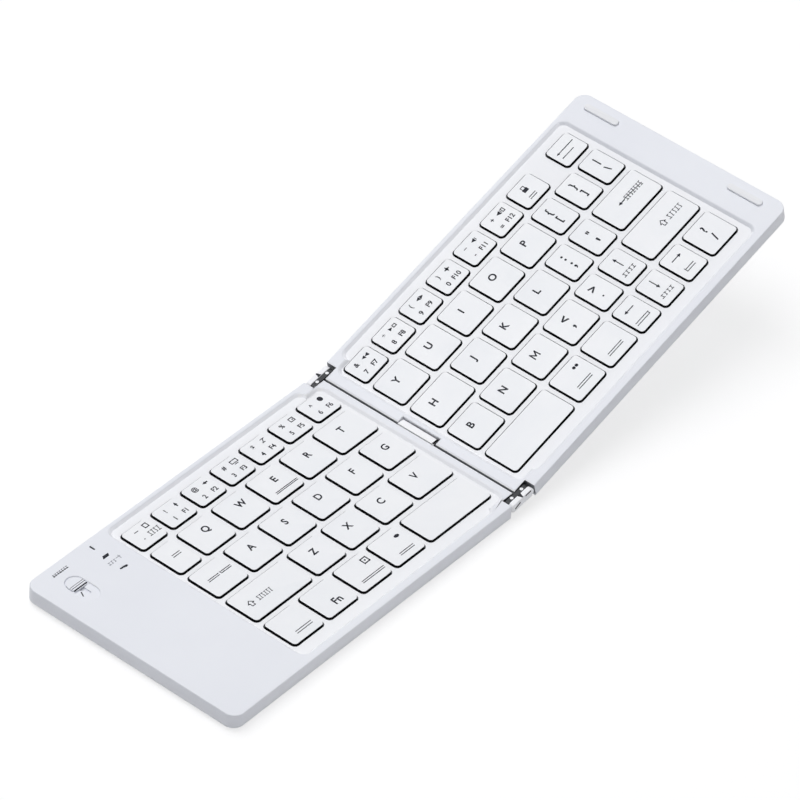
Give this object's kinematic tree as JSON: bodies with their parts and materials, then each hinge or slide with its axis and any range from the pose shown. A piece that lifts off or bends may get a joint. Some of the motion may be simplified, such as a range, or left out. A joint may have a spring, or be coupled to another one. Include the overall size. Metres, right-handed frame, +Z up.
{
  "type": "folding keyboard",
  "caption": "Pocket keyboard in two thin halves that fold face to face on a double-pivot hinge, with scissor keys in sunk wells.",
  "frame": {"origin": "middle of the overall box, on the surface that the keyboard stands on, in the standing pose with the right half folded 17.5 degrees up from flat", "axes": "+X along the keyboard to the user's right, +Y away from the user, +Z up, square to the left half's top face"},
  "size_m": [0.2458, 0.077, 0.0436],
  "materials": {
    "shell_white": "satin",
    "base_grey": "fine matte",
    "key_white": "fine matte",
    "key_plate": "satin",
    "membrane": "smooth",
    "dome_rubber": "matte",
    "scissor_plastic": "smooth",
    "board": "smooth",
    "battery_pouch": "satin foil",
    "bright_steel": "brushed",
    "dark_plastic": "matte",
    "light_pipe": "clear gloss",
    "magnet_metal": "nickel plated",
    "dark_steel": "brushed",
    "cover_white": "satin",
    "cable_film": "smooth",
    "pad_rubber": "matte",
    "foot_rubber": "matte"
  },
  "bodies": {
    "left_half": {"left_top_shell": "shell_white", "left_bottom_shell": "base_grey", "left_key_plate": "key_plate", "left_membrane": "membrane", "left_domes": "dome_rubber", "left_scissors": "scissor_plastic", "main_board": "board", "battery": "battery_pouch", "charging_port": "bright_steel", "power_switch": "dark_plastic", "indicator_lights": "light_pipe", "left_magnets": "magnet_metal", "left_hinge_pins": "bright_steel", "cable_guard": "cover_white", "flat_cable": "cable_film", "left_feet": "foot_rubber", "left_screws": "bright_steel"},
    "link": {"hinge_straps": "dark_steel", "link_covers": "cover_white"},
    "right_half": {"right_top_shell": "shell_white", "right_bottom_shell": "base_grey", "right_key_plate": "key_plate", "right_membrane": "membrane", "right_domes": "dome_rubber", "right_scissors": "scissor_plastic", "right_magnets": "magnet_metal", "right_hinge_pins": "bright_steel", "closing_pads": "pad_rubber", "right_feet": "foot_rubber", "right_screws": "bright_steel"},
    "esc_key": {"esc_key": "key_white"},
    "number_keys_left": {"number_keys_left": "key_white"},
    "tab_key": {"tab_key": "key_white"},
    "q_row_keys_left": {"q_row_keys_left": "key_white"},
    "caps_lock_key": {"caps_lock_key": "key_white"},
    "a_row_keys_left": {"a_row_keys_left": "key_white"},
    "left_shift_key": {"left_shift_key": "key_white"},
    "z_row_keys_left": {"z_row_keys_left": "key_white"},
    "ctrl_key": {"ctrl_key": "key_white"},
    "fn_key": {"fn_key": "key_white"},
    "command_key": {"command_key": "key_white"},
    "left_alt_key": {"left_alt_key": "key_white"},
    "left_space_key": {"left_space_key": "key_white"},
    "number_keys_right": {"number_keys_right": "key_white"},
    "lock_key": {"lock_key": "key_white"},
    "backspace_key": {"backspace_key": "key_white"},
    "y_row_keys_right": {"y_row_keys_right": "key_white"},
    "bracket_keys": {"bracket_keys": "key_white"},
    "h_row_keys_right": {"h_row_keys_right": "key_white"},
    "enter_key": {"enter_key": "key_white"},
    "b_row_keys_right": {"b_row_keys_right": "key_white"},
    "up_key": {"up_key": "key_white"},
    "right_shift_key": {"right_shift_key": "key_white"},
    "right_space_key": {"right_space_key": "key_white"},
    "right_alt_and_menu_keys": {"right_alt_and_menu_keys": "key_white"},
    "left_arrow_key": {"left_arrow_key": "key_white"},
    "down_key": {"down_key": "key_white"},
    "right_arrow_key": {"right_arrow_key": "key_white"},
    "slash_key": {"slash_key": "key_white"},
    "switch_knob": {"switch_knob": "shell_white"}
  },
  "joints": [
    {"name": "fold_left", "type": "hinge", "parent": "left_half", "child": "link", "pos_m": [0.00025, 0, 0.0043], "axis": [0, -1, 0], "range_deg": [-8.75, 81.25], "deforming": ["flat_cable"]},
    {"name": "fold_right", "type": "hinge", "parent": "link", "child": "right_half", "pos_m": [0.0046, 0, 0.00497], "axis": [0, -1, 0], "range_deg": [-8.75, 81.25], "deforming": ["flat_cable"]},
    {"name": "press_esc_key", "type": "slide", "parent": "left_half", "child": "esc_key", "axis": [0, 0, -1], "range_m": [0, 0.0014], "stiffness_N_per_m": 430, "deforming": ["left_domes", "left_scissors"]},
    {"name": "press_number_keys_left", "type": "slide", "parent": "left_half", "child": "number_keys_left", "axis": [0, 0, -1], "range_m": [0, 0.0014], "stiffness_N_per_m": 2580, "deforming": ["left_domes", "left_scissors"]},
    {"name": "press_tab_key", "type": "slide", "parent": "left_half", "child": "tab_key", "axis": [0, 0, -1], "range_m": [0, 0.0014], "stiffness_N_per_m": 430, "deforming": ["left_domes", "left_scissors"]},
    {"name": "press_q_row_keys_left", "type": "slide", "parent": "left_half", "child": "q_row_keys_left", "axis": [0, 0, -1], "range_m": [0, 0.0014], "stiffness_N_per_m": 2150, "deforming": ["left_domes", "left_scissors"]},
    {"name": "press_caps_lock_key", "type": "slide", "parent": "left_half", "child": "caps_lock_key", "axis": [0, 0, -1], "range_m": [0, 0.0014], "stiffness_N_per_m": 430, "deforming": ["left_domes", "left_scissors"]},
    {"name": "press_a_row_keys_left", "type": "slide", "parent": "left_half", "child": "a_row_keys_left", "axis": [0, 0, -1], "range_m": [0, 0.0014], "stiffness_N_per_m": 2150, "deforming": ["left_domes", "left_scissors"]},
    {"name": "press_left_shift_key", "type": "slide", "parent": "left_half", "child": "left_shift_key", "axis": [0, 0, -1], "range_m": [0, 0.0014], "stiffness_N_per_m": 430, "deforming": ["left_domes", "left_scissors"]},
    {"name": "press_z_row_keys_left", "type": "slide", "parent": "left_half", "child": "z_row_keys_left", "axis": [0, 0, -1], "range_m": [0, 0.0014], "stiffness_N_per_m": 1720, "deforming": ["left_domes", "left_scissors"]},
    {"name": "press_ctrl_key", "type": "slide", "parent": "left_half", "child": "ctrl_key", "axis": [0, 0, -1], "range_m": [0, 0.0014], "stiffness_N_per_m": 430, "deforming": ["left_domes", "left_scissors"]},
    {"name": "press_fn_key", "type": "slide", "parent": "left_half", "child": "fn_key", "axis": [0, 0, -1], "range_m": [0, 0.0014], "stiffness_N_per_m": 430, "deforming": ["left_domes", "left_scissors"]},
    {"name": "press_command_key", "type": "slide", "parent": "left_half", "child": "command_key", "axis": [0, 0, -1], "range_m": [0, 0.0014], "stiffness_N_per_m": 430, "deforming": ["left_domes", "left_scissors"]},
    {"name": "press_left_alt_key", "type": "slide", "parent": "left_half", "child": "left_alt_key", "axis": [0, 0, -1], "range_m": [0, 0.0014], "stiffness_N_per_m": 430, "deforming": ["left_domes", "left_scissors"]},
    {"name": "press_left_space_key", "type": "slide", "parent": "left_half", "child": "left_space_key", "axis": [0, 0, -1], "range_m": [0, 0.0014], "stiffness_N_per_m": 430, "deforming": ["left_domes", "left_scissors"]},
    {"name": "press_number_keys_right", "type": "slide", "parent": "right_half", "child": "number_keys_right", "axis": [0.3007, 0, -0.9537], "range_m": [0, 0.0014], "stiffness_N_per_m": 2580, "deforming": ["right_domes", "right_scissors"]},
    {"name": "press_lock_key", "type": "slide", "parent": "right_half", "child": "lock_key", "axis": [0.3007, 0, -0.9537], "range_m": [0, 0.0014], "stiffness_N_per_m": 430, "deforming": ["right_domes", "right_scissors"]},
    {"name": "press_backspace_key", "type": "slide", "parent": "right_half", "child": "backspace_key", "axis": [0.3007, 0, -0.9537], "range_m": [0, 0.0014], "stiffness_N_per_m": 430, "deforming": ["right_domes", "right_scissors"]},
    {"name": "press_y_row_keys_right", "type": "slide", "parent": "right_half", "child": "y_row_keys_right", "axis": [0.3007, 0, -0.9537], "range_m": [0, 0.0014], "stiffness_N_per_m": 2150, "deforming": ["right_domes", "right_scissors"]},
    {"name": "press_bracket_keys", "type": "slide", "parent": "right_half", "child": "bracket_keys", "axis": [0.3007, 0, -0.9537], "range_m": [0, 0.0014], "stiffness_N_per_m": 1290, "deforming": ["right_domes", "right_scissors"]},
    {"name": "press_h_row_keys_right", "type": "slide", "parent": "right_half", "child": "h_row_keys_right", "axis": [0.3007, 0, -0.9537], "range_m": [0, 0.0014], "stiffness_N_per_m": 2580, "deforming": ["right_domes", "right_scissors"]},
    {"name": "press_enter_key", "type": "slide", "parent": "right_half", "child": "enter_key", "axis": [0.3007, 0, -0.9537], "range_m": [0, 0.0014], "stiffness_N_per_m": 430, "deforming": ["right_domes", "right_scissors"]},
    {"name": "press_b_row_keys_right", "type": "slide", "parent": "right_half", "child": "b_row_keys_right", "axis": [0.3007, 0, -0.9537], "range_m": [0, 0.0014], "stiffness_N_per_m": 2150, "deforming": ["right_domes", "right_scissors"]},
    {"name": "press_up_key", "type": "slide", "parent": "right_half", "child": "up_key", "axis": [0.3007, 0, -0.9537], "range_m": [0, 0.0014], "stiffness_N_per_m": 430, "deforming": ["right_domes", "right_scissors"]},
    {"name": "press_right_shift_key", "type": "slide", "parent": "right_half", "child": "right_shift_key", "axis": [0.3007, 0, -0.9537], "range_m": [0, 0.0014], "stiffness_N_per_m": 430, "deforming": ["right_domes", "right_scissors"]},
    {"name": "press_right_space_key", "type": "slide", "parent": "right_half", "child": "right_space_key", "axis": [0.3007, 0, -0.9537], "range_m": [0, 0.0014], "stiffness_N_per_m": 430, "deforming": ["right_domes", "right_scissors"]},
    {"name": "press_right_alt_and_menu_keys", "type": "slide", "parent": "right_half", "child": "right_alt_and_menu_keys", "axis": [0.3007, 0, -0.9537], "range_m": [0, 0.0014], "stiffness_N_per_m": 860, "deforming": ["right_domes", "right_scissors"]},
    {"name": "press_left_arrow_key", "type": "slide", "parent": "right_half", "child": "left_arrow_key", "axis": [0.3007, 0, -0.9537], "range_m": [0, 0.0014], "stiffness_N_per_m": 430, "deforming": ["right_domes", "right_scissors"]},
    {"name": "press_down_key", "type": "slide", "parent": "right_half", "child": "down_key", "axis": [0.3007, 0, -0.9537], "range_m": [0, 0.0014], "stiffness_N_per_m": 430, "deforming": ["right_domes", "right_scissors"]},
    {"name": "press_right_arrow_key", "type": "slide", "parent": "right_half", "child": "right_arrow_key", "axis": [0.3007, 0, -0.9537], "range_m": [0, 0.0014], "stiffness_N_per_m": 430, "deforming": ["right_domes", "right_scissors"]},
    {"name": "press_slash_key", "type": "slide", "parent": "right_half", "child": "slash_key", "axis": [0.3007, 0, -0.9537], "range_m": [0, 0.0014], "stiffness_N_per_m": 430, "deforming": ["right_domes", "right_scissors"]},
    {"name": "slide_switch", "type": "slide", "parent": "left_half", "child": "switch_knob", "axis": [0, -1, 0], "range_m": [0, 0.0045]}
  ],
  "couplings": [
    {"joint": "fold_right", "follows": "fold_left", "ratio": 1}
  ]
}
